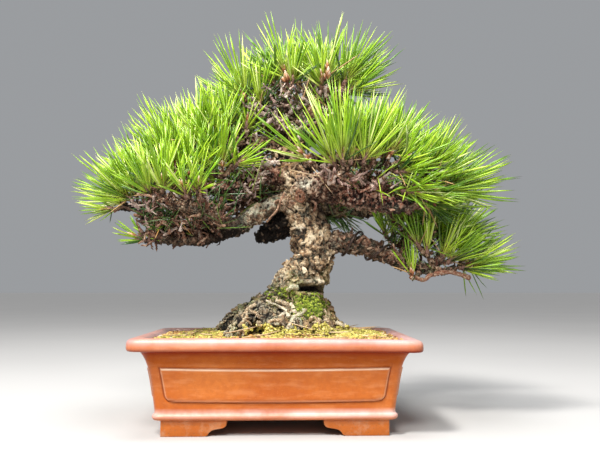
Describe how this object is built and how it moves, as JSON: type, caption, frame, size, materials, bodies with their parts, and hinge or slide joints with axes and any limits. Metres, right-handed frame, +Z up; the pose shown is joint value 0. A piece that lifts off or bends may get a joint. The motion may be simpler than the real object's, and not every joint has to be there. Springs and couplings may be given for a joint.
{
  "type": "bonsai tree",
  "caption": "Small japanese black pine bonsai: leaning flared trunk, wired branches with stiff needle clumps, mossy soil, in an unglazed rectangular footed pot.",
  "frame": {"origin": "under the middle of the whole plant's outline, on the plane that the pot's feet stand on", "axes": "+X to the viewer's right along the pot's long side, +Y away from the viewer, +Z up"},
  "size_m": [0.3524, 0.2108, 0.3217],
  "materials": {
    "terracotta": "unglazed satin",
    "bark": "rough flaky bark",
    "needles": "waxy satin",
    "moss": "matte",
    "soil": "matte granular",
    "grit": "matte granular",
    "screen_plastic": "matte",
    "aluminium_wire": "satin",
    "training_wire": "dark brown anodised"
  },
  "bodies": {
    "root": {"drain_screen_left": "screen_plastic", "drain_screen_right": "screen_plastic", "drainage_grit": "grit", "moss_back_left": "moss", "moss_back_right": "moss", "moss_front": "moss", "moss_left": "moss", "moss_right": "moss", "moss_trunk": "moss", "needles_back_high": "needles", "needles_back_left_a": "needles", "needles_back_left_b": "needles", "needles_back_right_a": "needles", "needles_back_right_b": "needles", "needles_crown_a": "needles", "needles_crown_b": "needles", "needles_crown_c": "needles", "needles_crown_d": "needles", "needles_crown_e": "needles", "needles_crown_left": "needles", "needles_high_left_a": "needles", "needles_high_left_b": "needles", "needles_high_left_c": "needles", "needles_high_left_d": "needles", "needles_high_left_e": "needles", "needles_high_left_f": "needles", "needles_left_back_a": "needles", "needles_left_back_b": "needles", "needles_left_centre": "needles", "needles_left_front_a": "needles", "needles_left_front_b": "needles", "needles_left_low": "needles", "needles_left_mid_a": "needles", "needles_left_mid_b": "needles", "needles_left_tip": "needles", "needles_low_right_a": "needles", "needles_low_right_b": "needles", "needles_low_right_c": "needles", "needles_low_right_d": "needles", "needles_low_right_e": "needles", "needles_low_right_tip": "needles", "needles_low_right_under": "needles", "needles_right_back_a": "needles", "needles_right_back_b": "needles", "needles_right_back_c": "needles", "needles_right_front_a": "needles", "needles_right_front_b": "needles", "needles_right_front_c": "needles", "needles_right_front_d": "needles", "needles_right_front_e": "needles", "needles_right_tip_a": "needles", "needles_right_tip_b": "needles", "pot": "terracotta", "root_tie_wire": "aluminium_wire", "screen_wire_left": "aluminium_wire", "screen_wire_right": "aluminium_wire", "soil": "soil", "training_wire": "training_wire", "tree_wood": "bark"}
  },
  "joints": []
}
